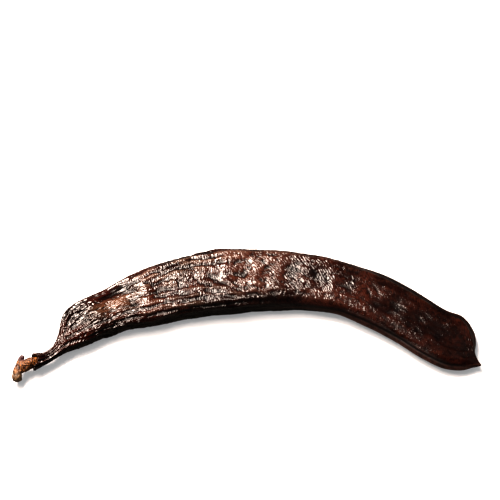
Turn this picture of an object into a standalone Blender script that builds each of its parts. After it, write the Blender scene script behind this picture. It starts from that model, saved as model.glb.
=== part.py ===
"""A dried carob pod lying on its broad side: the curved, wrinkled pod, and the broken stalk in its neck.

Lengths are in millimetres until the last step. X runs along the pod from the stalk to the beak, Y across it
towards the outer seam, and Z up from the surface it lies on.
"""

import itertools
import math

import bpy
import numpy as np

MM = 0.001

# The pod is a skin carried between its two seams. Each station holds a point of the outer seam (x, y), the
# matching point of the inner seam (x, y), the height of the section's middle, its thickness, and how square
# the section is: 2 is an ellipse, and 3 has flat sides between full rims.
STATIONS = np.array(
    [
        # outer seam     inner seam      height thick square
        (-82.8, -19.3, -81.6, -26.0, 4.6, 5.6, 2.0),  # mouth of the neck
        (-78.1, -18.6, -76.2, -22.6, 4.6, 4.2, 2.0),  # narrowest part of the neck
        (-74.8, -15.8, -72.2, -19.5, 4.6, 4.6, 2.1),
        (-73.5, -11.0, -68.2, -17.2, 4.6, 6.2, 2.4),
        (-72.9, -5.2, -64.5, -15.4, 4.5, 7.8, 2.7),  # shoulder
        (-70.4, -0.1, -60.0, -13.2, 4.4, 8.8, 2.9),
        (-65.0, 4.3, -54.3, -10.2, 4.5, 9.4, 3.0),
        (-55.9, 10.2, -46.6, -7.6, 4.7, 9.8, 3.0),
        (-42.6, 17.9, -36.0, -5.5, 5.0, 10.4, 3.0),
        (-26.9, 24.9, -23.6, -2.2, 5.2, 10.8, 3.0),
        (-8.8, 28.4, -8.6, -0.7, 5.3, 10.8, 3.0),  # middle of the bend
        (9.3, 28.6, 6.0, 1.1, 5.2, 10.4, 2.9),
        (27.4, 26.2, 21.0, 1.7, 4.9, 10.0, 2.7),
        (43.3, 21.7, 35.2, -0.3, 4.6, 9.4, 2.6),
        (57.8, 15.0, 47.5, -5.7, 4.3, 8.8, 2.5),
        (69.3, 7.2, 58.5, -12.7, 4.0, 8.2, 2.4),
        (77.9, 0.5, 67.4, -19.1, 3.8, 7.6, 2.3),  # dip before the end
        (84.4, -2.3, 74.8, -23.5, 3.6, 7.2, 2.3),
        (87.7, -7.5, 80.2, -24.6, 3.3, 6.2, 2.2),
        (88.5, -13.1, 84.4, -24.3, 3.1, 4.8, 2.1),
        (88.4, -17.8, 87.1, -24.0, 3.0, 3.4, 2.0),
        (89.6, -21.8, 89.1, -23.6, 3.0, 1.6, 2.0),
        (90.4, -22.9, 90.2, -23.3, 3.0, 0.5, 2.0),  # tip of the beak
    ]
)

RING_SPACING = 1.95
POINTS_ROUND = 56
FULL_WIDTH, FULL_THICKNESS, FULL_SQUARE = 27.0, 10.6, 3.0  # the section that spaces the points of a ring
REST_LIFT = -0.25  # the folds that reach lowest are pressed flat on the surface by this much

# Relief of the skin: heights and sizes of each kind
SIDE_SINK = 1.0  # the sides dry in between the thick rims
SEED_PITCH, FIRST_SEED, LAST_SEED, SEED_RISE, SEED_LENGTH = 10.6, 34.0, 176.0, 0.9, 3.7
RIM_RIDGE, RIM_RIDGE_PITCH, RIM_RIDGE_DEPTH = 0.9, 3.1, 7.0
SEAM_FURROW, SEAM_FLANGE = 0.7, 0.9
FOLD, FOLD_LENGTH, FOLD_WIDTH = 0.7, 8.5, 5.2
DIMPLE, DIMPLE_SIZE = 0.5, 13.0
HOLLOW, HOLLOW_ALONG, HOLLOW_ACROSS = 1.7, 46.0, 0.62
HOLLOW_BEFORE, HOLLOW_BEYOND, HOLLOW_WIDTH = 9.5, 5.0, 0.36
RELIEF_SEED = 11

# Neck's mouth: torn back on its upper side, and hollow where the stalk sits
TORN_BACK, TORN_REACH, TORN_EDGE = 2.4, 6.0, 0.4
LIP_RADIUS, SOCKET_RADIUS, SOCKET_DEPTH = 2.4, 1.5, 2.7

# Stalk, as x, y, z and radius from the middle of the neck's mouth: a short foot that tapers into the neck,
# and a broken piece of the flower stem that it grew from
FOOT = np.array(
    [
        (2.0, 1.1, 0.0, 0.95),
        (0.2, 0.1, 0.0, 1.7),
        (-1.0, -0.4, 0.1, 2.1),
        (-2.8, -1.6, 0.1, 2.15),
        (-4.5, -2.7, 0.0, 1.95),
        (-5.5, -3.3, -0.1, 1.3),
    ]
)
STEM = np.array(
    [
        (-4.1, 2.2, 0.9, 0.8),
        (-4.5, 0.9, 0.8, 1.1),
        (-5.0, -0.9, 0.4, 1.3),
        (-5.3, -3.1, 0.0, 1.65),
        (-5.6, -5.1, -0.4, 1.85),
        (-5.7, -6.8, -0.7, 1.9),
        (-5.6, -7.9, -0.8, 1.2),
    ]
)
WOOD_LUMP, WOOD_LUMP_SIZE, WOOD_SEED = 0.22, 2.2, 41
STALK_RINGS, STALK_SIDES = 16, 12


def curve_through(points, at):
    """Every column of points at the point numbers in at, on a smooth Catmull-Rom curve."""
    padded = np.concatenate([[2 * points[0] - points[1]], points, [2 * points[-1] - points[-2]]])
    first = np.clip(np.floor(at).astype(int), 0, len(points) - 2)
    f = (at - first)[:, None]
    a, b, c, d = (padded[first + k] for k in range(4))
    return 0.5 * (2 * b + (c - a) * f + (2 * a - 5 * b + 4 * c - d) * f**2 + (3 * b - a - 3 * c + d) * f**3)


def noise(points, seed):
    """Smooth random heights from about -1 to 1: a random slope at each whole-number corner, eased between."""
    rng = np.random.default_rng(seed)
    order = np.tile(rng.permutation(256), 3)
    slopes = rng.normal(size=(256, 3))
    slopes /= np.linalg.norm(slopes, axis=1)[:, None]
    cell = np.floor(points).astype(int)
    f = points - cell
    ease = f**3 * (f * (f * 6 - 15) + 10)
    total = 0.0
    for corner in itertools.product((0, 1), repeat=3):
        i, j, k = np.moveaxis((cell + corner) % 256, -1, 0)
        slope = slopes[order[order[order[i] + j] + k]]
        share = np.where(corner, ease, 1 - ease).prod(axis=-1)
        total = total + share * (slope * (f - corner)).sum(axis=-1)
    return 1.7 * total


def smooth_step(low, high, x):
    """0 below low, 1 above high, and an eased slope between."""
    t = np.clip((x - low) / (high - low), 0, 1)
    return t * t * (3 - 2 * t)


def bell(x):
    """A bump of height 1 and half-width 1, flat outside."""
    return np.clip(1 - x * x, 0, 1) ** 2


def section(angle, square):
    """A superellipse in the unit square: (share of the half-width, share of the half-thickness)."""
    c, s = np.cos(angle), np.sin(angle)
    reach = (np.abs(c) ** square + np.abs(s) ** square) ** (-1 / square)
    return c * reach, s * reach


def spaced_angles(count):
    """Angles that lie evenly along the outline of the full section, starting at the outer seam."""
    angle = np.linspace(0, 2 * math.pi, 4001)
    across, up = section(angle, FULL_SQUARE)
    step = np.hypot(np.diff(across) * FULL_WIDTH, np.diff(up) * FULL_THICKNESS)
    walked = np.concatenate([[0], np.cumsum(step)])
    return np.interp(np.arange(count) / count * walked[-1], walked, angle)


def spaced_stations(spacing):
    """Station numbers of rings that lie about spacing apart, and each ring's distance along the pod."""
    at = np.linspace(0, len(STATIONS) - 1, 4001)
    seams = curve_through(STATIONS, at)[:, :4]
    outer = np.linalg.norm(np.diff(seams[:, :2], axis=0), axis=1)
    inner = np.linalg.norm(np.diff(seams[:, 2:], axis=0), axis=1)
    walked = np.concatenate([[0], np.cumsum((outer + inner) / 2)])
    along = np.linspace(0, walked[-1], round(walked[-1] / spacing) + 1)
    return np.interp(along, walked, at), along


class Skin:
    """Where each point of the skin lies, as arrays over rings and points round a ring."""

    def __init__(self, along, across, up, width):
        self.along = along  # distance from the neck's mouth
        self.share = along / along.max()
        self.across = across  # from -1 at the inner seam to 1 at the outer
        self.up = up  # from -1 on the underside to 1 on top
        self.width = width
        self.from_rim = (1 - np.abs(across)) * width / 2
        self.body = smooth_step(9, 24, along) * smooth_step(0, 14, along.max() - along)
        self.flat = smooth_step(0.62, 0.93, np.abs(up))
        self.rim = smooth_step(0.6, 0.95, np.abs(across))
        rough_back = (across > 0) * np.interp(self.share, (0.22, 0.32, 0.6, 0.75), (0, 0.8, 0.8, 0))
        length = np.where(along < HOLLOW_ALONG, HOLLOW_BEFORE, HOLLOW_BEYOND)
        away = ((along - HOLLOW_ALONG) / length) ** 2 + ((across - HOLLOW_ACROSS) / HOLLOW_WIDTH) ** 2
        self.hollow = (up > 0) * np.exp(-away)  # how far it is into the smooth hollow past the shoulder
        calm = smooth_step(0.72, 0.97, np.abs(across)) * (1 - rough_back)
        self.calm = (1 - 0.7 * calm) * (1 - 0.9 * self.hollow)  # smoother on the rims and in the hollow
        self.place = np.stack([along, across * width / 2, up * 5], axis=-1)


def sunken_sides(skin):
    return -SIDE_SINK * skin.body * skin.flat * bell(skin.across / 0.8)


def seed_swellings(skin):
    """A low bump over each seed, of uneven height and lean, the last ones before the beak the lowest."""
    rng = np.random.default_rng(RELIEF_SEED)
    height = 0.0
    for middle in np.arange(FIRST_SEED, LAST_SEED, SEED_PITCH):
        shift, lean = rng.uniform(-1.4, 1.4, 2)
        away = (skin.along - middle - shift + lean * skin.across) / SEED_LENGTH
        height = height + rng.uniform(0.5, 1.15) * np.exp(-away * away)
    strong = SEED_RISE * (1 - 0.8 * skin.hollow) * np.interp(skin.share, (0.55, 0.8), (1, 0.6))
    return strong * skin.body * skin.flat * bell(skin.across / 0.72) * height


def rim_ridges(skin):
    """Sharp-crested ridges that run beside the rims and die away from them, strong towards the neck."""
    meander = 1.2 * noise(skin.place / (11, 9, 9), RELIEF_SEED + 1)
    wave = 0.6 - np.abs(np.sin(math.pi * (skin.from_rim + meander) / RIM_RIDGE_PITCH))
    strong = np.interp(skin.share, (0.04, 0.11, 0.4, 0.55, 1), (0.3, 1, 0.8, 0.3, 0.2))
    inner = 1 + 0.3 * smooth_step(0.2, -0.4, skin.across)
    top = smooth_step(0.25, 0.7, np.abs(skin.up)) * (1 - 0.9 * skin.hollow)
    return RIM_RIDGE * strong * inner * top * wave * np.exp(-skin.from_rim / RIM_RIDGE_DEPTH)


def seams(skin):
    """A furrow along both rims, which becomes a thin raised flange towards the beak."""
    furrow = SEAM_FURROW * skin.body * bell(skin.up / 0.55) * smooth_step(0.75, 0.5, skin.share)
    flange = SEAM_FLANGE * bell(skin.up / 0.35) * smooth_step(0.5, 0.75, skin.share)
    return skin.rim * (flange * smooth_step(5, 15, skin.width) - furrow)


def folds(skin):
    """Rounded folds with sharp creases between them, drawn out along the pod and swirled."""
    swirl = 2.4 * noise(skin.place / 14, RELIEF_SEED + 2)[..., None]
    slant = skin.place[..., 1:2] * (0.5, 0, 0)
    size = (FOLD_LENGTH, FOLD_WIDTH, FOLD_WIDTH)
    strong = np.interp(skin.share, (0.1, 0.22, 0.4, 0.6, 0.75, 1), (0.3, 0.9, 1, 0.65, 0.2, 0.2))
    rounded = np.abs(noise((skin.place + swirl + slant) / size, RELIEF_SEED + 3)) - 0.25
    return FOLD * strong * skin.body * skin.calm * rounded


def dimples(skin):
    strong = np.interp(skin.share, (0.55, 0.75), (1, 0.4))
    return DIMPLE * strong * skin.body * noise(skin.place / DIMPLE_SIZE, RELIEF_SEED + 4)


def shoulder_hollow(skin):
    """A smooth hollow in the upper side, beside the outer rim just past the shoulder."""
    return -HOLLOW * skin.flat * skin.hollow


def outward(grid):
    """Unit normals of a grid of points, rings first, closed round each ring."""
    along = np.gradient(grid, axis=0)
    around = np.roll(grid, -1, axis=1) - np.roll(grid, 1, axis=1)
    normal = np.cross(around, along)
    return normal / np.maximum(np.linalg.norm(normal, axis=-1, keepdims=True), 1e-9)


def neck_mouth():
    """(middle of the neck's mouth, unit direction out of it)."""
    middle, behind = (np.array([*(row[:2] + row[2:4]) / 2, row[4] + REST_LIFT]) for row in STATIONS[:2])
    return middle, (middle - behind) / np.linalg.norm(middle - behind)


def torn(points, skin):
    """Moves the neck's mouth back where it is torn, most on its upper side, and roughens its edge."""
    middle, out = neck_mouth()
    ragged = TORN_EDGE * noise((points - middle) / 1.3, RELIEF_SEED)
    back = TORN_BACK * smooth_step(-0.2, 1, skin.up) * (1 - skin.across**2) - ragged
    fade = np.clip(1 - skin.along / TORN_REACH, 0, 1)
    return points - (fade * back)[..., None] * out


def pod_skin():
    """Grid of points of the pod's skin, from the neck's mouth to the beak, resting on z = 0."""
    at, along = spaced_stations(RING_SPACING)
    outer, inner, height, thickness, square = np.split(curve_through(STATIONS, at), [2, 4, 5, 6], axis=1)
    across, up = section(spaced_angles(POINTS_ROUND)[None, :], square)
    whole = np.ones_like(across)
    width = np.linalg.norm(outer - inner, axis=1)[:, None] * whole
    skin = Skin(along[:, None] * whole, across, up, width)
    plan = (outer + inner)[:, None] / 2 + (outer - inner)[:, None] / 2 * across[..., None]
    plain = np.concatenate([plan, (height + up * thickness / 2)[..., None]], axis=-1)
    lift = sunken_sides(skin) + shoulder_hollow(skin) + dimples(skin)
    lift = lift + seed_swellings(skin) + rim_ridges(skin) + seams(skin) + folds(skin)
    points = torn(plain + outward(plain) * lift[..., None], skin)
    points[..., 2] = np.maximum(points[..., 2] + REST_LIFT, 0)
    return points


def socket(mouth):
    """Rings of the hollow in the neck's mouth: its floor, then the lip inside the torn edge."""
    middle, out = neck_mouth()
    from_axis = mouth - middle
    depth = from_axis @ out
    spoke = from_axis - depth[:, None] * out
    spoke /= np.linalg.norm(spoke, axis=1)[:, None]
    lip = middle + LIP_RADIUS * spoke + depth[:, None] * out
    floor = middle + SOCKET_RADIUS * spoke - SOCKET_DEPTH * out
    return np.stack([floor, lip])


def tube(path, rings, sides, seed):
    """Grid of points round a smooth path of (x, y, z, radius), lumpy like dry wood."""
    line = curve_through(path, np.linspace(0, len(path) - 1, rings))
    middle, radius = line[:, :3], line[:, 3:]
    heading = np.gradient(middle, axis=0)
    heading /= np.linalg.norm(heading, axis=1)[:, None]
    side = np.cross(heading, (0, 0, 1))
    side /= np.linalg.norm(side, axis=1)[:, None]
    above = np.cross(side, heading)
    angle = np.arange(sides) / sides * 2 * math.pi
    spoke = side[:, None] * np.cos(angle)[:, None] + above[:, None] * np.sin(angle)[:, None]
    plain = middle[:, None] + radius[:, None] * spoke
    clear_of_neck = np.linspace(0, 1, rings)[:, None] ** 0.5
    return plain + spoke * (WOOD_LUMP * clear_of_neck * noise(plain / WOOD_LUMP_SIZE, seed))[..., None]


def closed_mesh(name, rings):
    """Mesh from a grid of rings, with a point in the middle of the first and of the last."""
    count, sides = rings.shape[:2]
    points = np.concatenate([rings.reshape(-1, 3), [rings[0].mean(axis=0)], [rings[-1].mean(axis=0)]])
    first_middle, last_middle = count * sides, count * sides + 1
    faces = []
    for k in range(sides):
        n = (k + 1) % sides
        faces.append((first_middle, n, k))
        faces.append((last_middle, (count - 1) * sides + k, (count - 1) * sides + n))
        for r in range(count - 1):
            low, high = r * sides, (r + 1) * sides
            faces.append((low + k, low + n, high + n, high + k))
    mesh = bpy.data.meshes.new(name)
    mesh.from_pydata(points * MM, [], faces)
    mesh.shade_smooth()
    mesh.set_sharp_from_angle(angle=math.radians(50))
    return mesh


def face_outwards(mesh):
    """Turns the faces round if the mesh is inside out, by the sign of its volume."""
    mesh.calc_loop_triangles()
    points = np.array([v.co for v in mesh.vertices])
    corners = points[[t.vertices[:] for t in mesh.loop_triangles]]
    if np.linalg.det(corners).sum() < 0:
        mesh.flip_normals()


def material(name, colour, roughness):
    made = bpy.data.materials.new(name)
    made.use_nodes = True
    shader = made.node_tree.nodes["Principled BSDF"]
    shader.inputs["Base Color"].default_value = (*colour, 1)
    shader.inputs["Roughness"].default_value = roughness
    shader.inputs["Metallic"].default_value = 0.0
    return made


def add_object(name, rings, made_of, parent):
    mesh = closed_mesh(name, rings)
    face_outwards(mesh)
    mesh.materials.append(made_of)
    obj = bpy.data.objects.new(name, mesh)
    bpy.context.scene.collection.objects.link(obj)
    obj.parent = parent
    return obj


def build_pod(skin, parent):
    """The pod: its skin, and the hollow in its neck that the stalk sits in."""
    leather = material("pod_skin", (0.075, 0.030, 0.020), 0.42)
    return add_object("pod", skin, leather, parent)


def build_stalk(foot, stem, parent):
    """The stalk: the foot in the neck, joined to the broken piece of flower stem."""
    wood = material("stalk_wood", (0.36, 0.15, 0.06), 0.75)
    stalk = add_object("stalk", foot, wood, parent)
    piece = add_object("stem_piece", stem, wood, parent)
    piece.hide_render = True
    piece.display_type = "WIRE"
    join = stalk.modifiers.new("join_stem", "BOOLEAN")
    join.operation = "UNION"
    join.solver = "EXACT"
    join.object = piece
    return stalk


def main():
    for obj in list(bpy.data.objects):
        bpy.data.objects.remove(obj)
    whole = bpy.data.objects.new("carob_pod", None)
    bpy.context.scene.collection.objects.link(whole)
    skin = pod_skin()
    skin = np.concatenate([socket(skin[0]), skin])
    mouth, _ = neck_mouth()
    foot = mouth + tube(FOOT, STALK_RINGS, STALK_SIDES, WOOD_SEED)
    stem = mouth + tube(STEM, STALK_RINGS, STALK_SIDES, WOOD_SEED + 1)
    everything = np.concatenate([rings.reshape(-1, 3) for rings in (skin, foot, stem)])
    middle = (everything.min(axis=0) + everything.max(axis=0)) / 2 * (1, 1, 0)
    build_pod(skin - middle, whole)
    build_stalk(foot - middle, stem - middle, whole)


main()
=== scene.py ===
# %% [markdown]
# # A dried carob pod
#
# A carob pod is a legume. It ripens into a flat, curved, leathery husk about as long as a hand, and dries
# until its skin wrinkles over the seeds. This lesson models one pod that lies on its broad side.
#
# Nearly all of its look is relief: ridges beside the rims, folds down the middle, a low swelling over each
# seed, and fine creases between them. So the skin is a single surface with a formula for its height, and
# the colours then follow the same relief: the creases are painted dark, as dirt and as painted shade, and
# the ridges pale, as a bloom and as a painted highlight.
#
# Lengths are in millimetres until a mesh is made. X runs along the pod from the stalk to the beak, Y across
# it towards the outer seam, and Z up from the table.

import itertools
import math

import bpy
import numpy as np
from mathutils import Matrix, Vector


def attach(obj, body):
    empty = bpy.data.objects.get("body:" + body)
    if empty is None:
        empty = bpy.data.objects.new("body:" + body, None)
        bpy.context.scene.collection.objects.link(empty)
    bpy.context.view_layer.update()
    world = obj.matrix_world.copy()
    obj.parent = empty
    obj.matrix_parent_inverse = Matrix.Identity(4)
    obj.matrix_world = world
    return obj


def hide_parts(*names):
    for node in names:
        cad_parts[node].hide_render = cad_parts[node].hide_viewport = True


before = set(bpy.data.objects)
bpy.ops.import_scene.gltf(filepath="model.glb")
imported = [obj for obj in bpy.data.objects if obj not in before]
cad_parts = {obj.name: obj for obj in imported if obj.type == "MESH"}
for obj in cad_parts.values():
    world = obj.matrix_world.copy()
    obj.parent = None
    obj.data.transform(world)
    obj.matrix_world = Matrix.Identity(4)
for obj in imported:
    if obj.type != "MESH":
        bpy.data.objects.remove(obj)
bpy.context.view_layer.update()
MM = 0.001

# %% [markdown]
# ## The outline
#
# A pod has two seams, where its two halves meet: the outer one along the back of the curve, and the inner
# one along its hollow side. Every cross-section hangs between a point of one and a point of the other. The
# stations below are the pod's outline, traced as it lies and turned to real sizes.

# %% Measure the pod at stations along its length
STATIONS = np.array(
    [
        # outer seam     inner seam      height thick square
        (-82.8, -19.3, -81.6, -26.0, 4.6, 5.6, 2.0),  # mouth of the neck
        (-78.1, -18.6, -76.2, -22.6, 4.6, 4.2, 2.0),  # narrowest part of the neck
        (-74.8, -15.8, -72.2, -19.5, 4.6, 4.6, 2.1),
        (-73.5, -11.0, -68.2, -17.2, 4.6, 6.2, 2.4),
        (-72.9, -5.2, -64.5, -15.4, 4.5, 7.8, 2.7),  # shoulder
        (-70.4, -0.1, -60.0, -13.2, 4.4, 8.8, 2.9),
        (-65.0, 4.3, -54.3, -10.2, 4.5, 9.4, 3.0),
        (-55.9, 10.2, -46.6, -7.6, 4.7, 9.8, 3.0),
        (-42.6, 17.9, -36.0, -5.5, 5.0, 10.4, 3.0),
        (-26.9, 24.9, -23.6, -2.2, 5.2, 10.8, 3.0),
        (-8.8, 28.4, -8.6, -0.7, 5.3, 10.8, 3.0),  # middle of the bend
        (9.3, 28.6, 6.0, 1.1, 5.2, 10.4, 2.9),
        (27.4, 26.2, 21.0, 1.7, 4.9, 10.0, 2.7),
        (43.3, 21.7, 35.2, -0.3, 4.6, 9.4, 2.6),
        (57.8, 15.0, 47.5, -5.7, 4.3, 8.8, 2.5),
        (69.3, 7.2, 58.5, -12.7, 4.0, 8.2, 2.4),
        (77.9, 0.5, 67.4, -19.1, 3.8, 7.6, 2.3),  # dip before the end
        (84.4, -2.3, 74.8, -23.5, 3.6, 7.2, 2.3),
        (87.7, -7.5, 80.2, -24.6, 3.3, 6.2, 2.2),
        (88.5, -13.1, 84.4, -24.3, 3.1, 4.8, 2.1),
        (88.4, -17.8, 87.1, -24.0, 3.0, 3.4, 2.0),
        (89.6, -21.8, 89.1, -23.6, 3.0, 1.6, 2.0),
        (90.4, -22.9, 90.2, -23.3, 3.0, 0.5, 2.0),  # tip of the beak
    ]
)
PLAN_CENTRE = np.array([0.27, -1.13, 0.0])  # middle of the whole outline, which becomes x = y = 0
REST_LIFT = -0.25  # the folds that reach lowest are pressed flat on the table by this much


def curve_through(points, at):
    """Smooth curve through rows of numbers, read at the row numbers in at.

    Between two rows it is a cubic whose slope at each row is half the step from the row before to the row
    after, so the curve passes through every row with no corner (a Catmull-Rom curve).
    """
    padded = np.concatenate([[2 * points[0] - points[1]], points, [2 * points[-1] - points[-2]]])
    first = np.clip(np.floor(at).astype(int), 0, len(points) - 2)
    f = (at - first)[:, None]
    a, b, c, d = (padded[first + k] for k in range(4))
    return 0.5 * (2 * b + (c - a) * f + (2 * a - 5 * b + 4 * c - d) * f**2 + (3 * b - a - 3 * c + d) * f**3)


def neck_mouth():
    """Middle of the neck's mouth, and the unit direction out of it, from the first two stations."""
    middle, behind = (np.array([*(row[:2] + row[2:4]) / 2, row[4] + REST_LIFT]) for row in STATIONS[:2])
    return middle, (middle - behind) / np.linalg.norm(middle - behind)


seam_to_seam = np.linalg.norm(STATIONS[:, :2] - STATIONS[:, 2:4], axis=1)
print(len(STATIONS), "stations, widest", seam_to_seam.max().round(1), "mm from seam to seam")

# %% [markdown]
# ## The cross-section
#
# The neck is round, but the body is nearly a rounded oblong: two flat sides between thick rims. One family
# of curves has both, the superellipse, whose exponent is 2 for an ellipse and 3 or more for a rounded
# oblong. The points are spaced evenly by their distance round the outline, so that the mesh is as fine on
# the rims as on the sides.

# %% Shape one cross-section and space its points
FULL_WIDTH, FULL_THICKNESS, FULL_SQUARE = 27.0, 10.6, 3.0  # the section that spaces the points of a ring
DIVISIONS = 4001  # points that a curve is measured with


def smooth_step(low, high, x):
    """0 below low, 1 above high, and between them 3t^2 - 2t^3, where t is the share of the way."""
    t = np.clip((x - low) / (high - low), 0, 1)
    return t * t * (3 - 2 * t)


def bell(x):
    """(1 - x^2)^2 inside -1 to 1, and 0 outside: a round bump of height 1."""
    return np.clip(1 - x * x, 0, 1) ** 2


def section(angle, square):
    """(across, up) on the superellipse |across|^n + |up|^n = 1 at each angle, where square gives n."""
    c, s = np.cos(angle), np.sin(angle)
    reach = (np.abs(c) ** square + np.abs(s) ** square) ** (-1 / square)
    return c * reach, s * reach


def spaced_angles(count):
    """Angles of points that lie evenly along the outline of the full section, starting at the outer seam."""
    angle = np.linspace(0, math.tau, DIVISIONS)
    across, up = section(angle, FULL_SQUARE)
    step = np.hypot(np.diff(across) * FULL_WIDTH, np.diff(up) * FULL_THICKNESS)
    walked = np.concatenate([[0], np.cumsum(step)])
    return np.interp(np.arange(count) / count * walked[-1], walked, angle)


def spaced_stations(spacing):
    """Station numbers of rings about spacing apart, and each ring's distance along the pod.

    The distance is measured half-way between the seams, so that the rings fan out evenly round the bend.
    """
    at = np.linspace(0, len(STATIONS) - 1, DIVISIONS)
    seams = curve_through(STATIONS, at)[:, :4]
    outer = np.linalg.norm(np.diff(seams[:, :2], axis=0), axis=1)
    inner = np.linalg.norm(np.diff(seams[:, 2:], axis=0), axis=1)
    walked = np.concatenate([[0], np.cumsum((outer + inner) / 2)])
    along = np.linspace(0, walked[-1], round(walked[-1] / spacing) + 1)
    return np.interp(along, walked, at), along


print("length between the seams:", spaced_stations(1.0)[1][-1].round(1), "mm")

# %% [markdown]
# ## Randomness with a shape
#
# Wrinkles are irregular but smooth. Gradient noise gives that: every corner of a cubic lattice gets a
# random slope, and the height between the corners is eased from one to the next. Its absolute value makes
# rounded folds with sharp creases where it crosses zero, which is just how a drying skin buckles.

# %% Make smooth noise, and rounded folds from it
NOISE_SLOPES = 256  # random slopes that the lattice's corners share
NOISE_GAIN = 1.7  # brings the noise to about -1 to 1
USUAL_NOISE = 0.27  # mean of the noise without its sign


def noise(points, seed):
    """Gradient noise from about -1 to 1 at each point.

    The eight corners of the point's cell each give slope . (point - corner), weighted by 6t^5 - 15t^4 +
    10t^3 along each axis.
    """
    rng = np.random.default_rng(seed)
    order = np.tile(rng.permutation(NOISE_SLOPES), 3)
    slopes = rng.normal(size=(NOISE_SLOPES, 3))
    slopes /= np.linalg.norm(slopes, axis=1)[:, None]
    cell = np.floor(points).astype(int)
    f = points - cell
    ease = f**3 * (f * (f * 6 - 15) + 10)
    total = 0.0
    for corner in itertools.product((0, 1), repeat=3):
        i, j, k = np.moveaxis((cell + corner) % NOISE_SLOPES, -1, 0)
        slope = slopes[order[order[order[i] + j] + k]]
        share = np.where(corner, ease, 1 - ease).prod(axis=-1)
        total = total + share * (slope * (f - corner)).sum(axis=-1)
    return NOISE_GAIN * total


def creased(points, seed):
    """|noise| less its usual value: rounded folds between sharp creases, from about -0.3 to 0.7."""
    return np.abs(noise(points, seed)) - USUAL_NOISE


sample = creased(np.random.default_rng(1).uniform(0, 50, (2000, 3)), 1)
print("folds from", sample.min().round(2), "to", sample.max().round(2))

# %% [markdown]
# ## Where a point lies
#
# Each form of the skin is strong in one place and gone in another: ridges beside the rims near the neck, a
# thin flange along the seams near the beak. So every point first learns its place in the pod's own terms:
# how far along it is, how far across, on top or below, and how near to a rim or a seam. These are whole
# arrays, over rings and points round a ring, so that each form below is a single formula with no loop over
# points.

# %% Lay out the rings of points
RING_SPACING = 0.34
POINTS_ROUND = 168
NECK_TO_BODY = 9, 24  # from the end of the neck to the full body, in mm along
BEAK_LENGTH = 14
HALF_THICK = 5
HOLLOW_ALONG, HOLLOW_ACROSS = 46.0, 0.62  # the smooth hollow beside the outer rim, just past the shoulder
HOLLOW_BEFORE, HOLLOW_BEYOND, HOLLOW_WIDTH = 9.5, 5.0, 0.36  # long slope on the neck side, short one past it


class Skin:
    """Where each point of the skin lies, as arrays over rings and points round a ring."""

    def __init__(self, along, across, up, width, from_seam):
        self.along = along  # distance from the neck's mouth
        self.share = along / along.max()
        self.across = across  # from -1 at the inner seam to 1 at the outer
        self.up = up  # from -1 on the underside to 1 on top
        self.width = width
        self.from_seam = from_seam  # distance round the section from the nearer seam
        self.from_rim = (1 - np.abs(across)) * width / 2
        self.body = smooth_step(*NECK_TO_BODY, along) * smooth_step(0, BEAK_LENGTH, along.max() - along)
        self.flat = smooth_step(0.62, 0.93, np.abs(up))
        self.rim = smooth_step(0.6, 0.95, np.abs(across))
        rough_back = (across > 0) * np.interp(self.share, (0.22, 0.32, 0.6, 0.75), (0, 0.8, 0.8, 0))
        length = np.where(along < HOLLOW_ALONG, HOLLOW_BEFORE, HOLLOW_BEYOND)
        away = ((along - HOLLOW_ALONG) / length) ** 2 + ((across - HOLLOW_ACROSS) / HOLLOW_WIDTH) ** 2
        self.hollow = (up > 0) * np.exp(-away)  # how far it is into the smooth hollow past the shoulder
        calm = smooth_step(0.72, 0.97, np.abs(across)) * (1 - rough_back)
        self.calm = (1 - 0.7 * calm) * (1 - 0.9 * self.hollow)  # smoother on the rims and in the hollow
        self.place = np.stack([along, across * width / 2, up * HALF_THICK], axis=-1)  # in mm, as if unrolled


at, along = spaced_stations(RING_SPACING)
outer, inner, height, thickness, square = np.split(curve_through(STATIONS, at), [2, 4, 5, 6], axis=1)
angle = spaced_angles(POINTS_ROUND)[None, :]
across, up = section(angle, square)
whole = np.ones_like(across)
plan = (outer + inner)[:, None] / 2 + (outer - inner)[:, None] / 2 * across[..., None]
plain = np.concatenate([plan, (height + up * thickness / 2)[..., None]], axis=-1)

step = np.linalg.norm(plain - np.roll(plain, 1, axis=1), axis=-1).mean(axis=1)[:, None]
spoke = np.arange(POINTS_ROUND)
from_seam = step * np.abs((spoke + POINTS_ROUND / 4) % (POINTS_ROUND / 2) - POINTS_ROUND / 4)
width = np.linalg.norm(outer - inner, axis=1)[:, None]
skin = Skin(along[:, None] * whole, across, up, width * whole, from_seam)
print("skin of", plain.shape[0], "rings of", plain.shape[1], "points", step.mean().round(2), "mm apart")

# %% [markdown]
# ## The large relief
#
# These are the forms that a hand would feel: the sides sunk between the rims, a swelling over each seed,
# the ridges that gather towards the neck, the seams, and the broad folds. They could be sculpted, but a pod
# has the same forms from end to end, so each is written once, as a height in millimetres that depends on
# where the point lies.

# %% Sink the sides and raise the seeds
SIDE_SINK, HOLLOW = 1.0, 1.7
SEED_PITCH, FIRST_SEED, LAST_SEED, SEED_RISE, SEED_LENGTH = 10.6, 34.0, 176.0, 0.9, 3.7
DIMPLE, DIMPLE_SIZE = 0.5, 13.0
RELIEF_SEED = 11


def sunken_sides(skin):
    """A shallow trough along each flat side, bell-shaped across it."""
    return -SIDE_SINK * skin.body * skin.flat * bell(skin.across / 0.8)


def seed_swellings(skin):
    """Over each seed exp(-d^2), where d is the distance from it in seed lengths, uneven in height and lean.

    The last seeds before the beak are the smallest.
    """
    rng = np.random.default_rng(RELIEF_SEED)
    height = 0.0
    for middle in np.arange(FIRST_SEED, LAST_SEED, SEED_PITCH):
        shift, lean = rng.uniform(-1.4, 1.4, 2)
        away = (skin.along - middle - shift + lean * skin.across) / SEED_LENGTH
        height = height + rng.uniform(0.5, 1.15) * np.exp(-away * away)
    strong = SEED_RISE * (1 - 0.8 * skin.hollow) * np.interp(skin.share, (0.55, 0.8), (1, 0.6))
    return strong * skin.body * skin.flat * bell(skin.across / 0.72) * height


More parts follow.
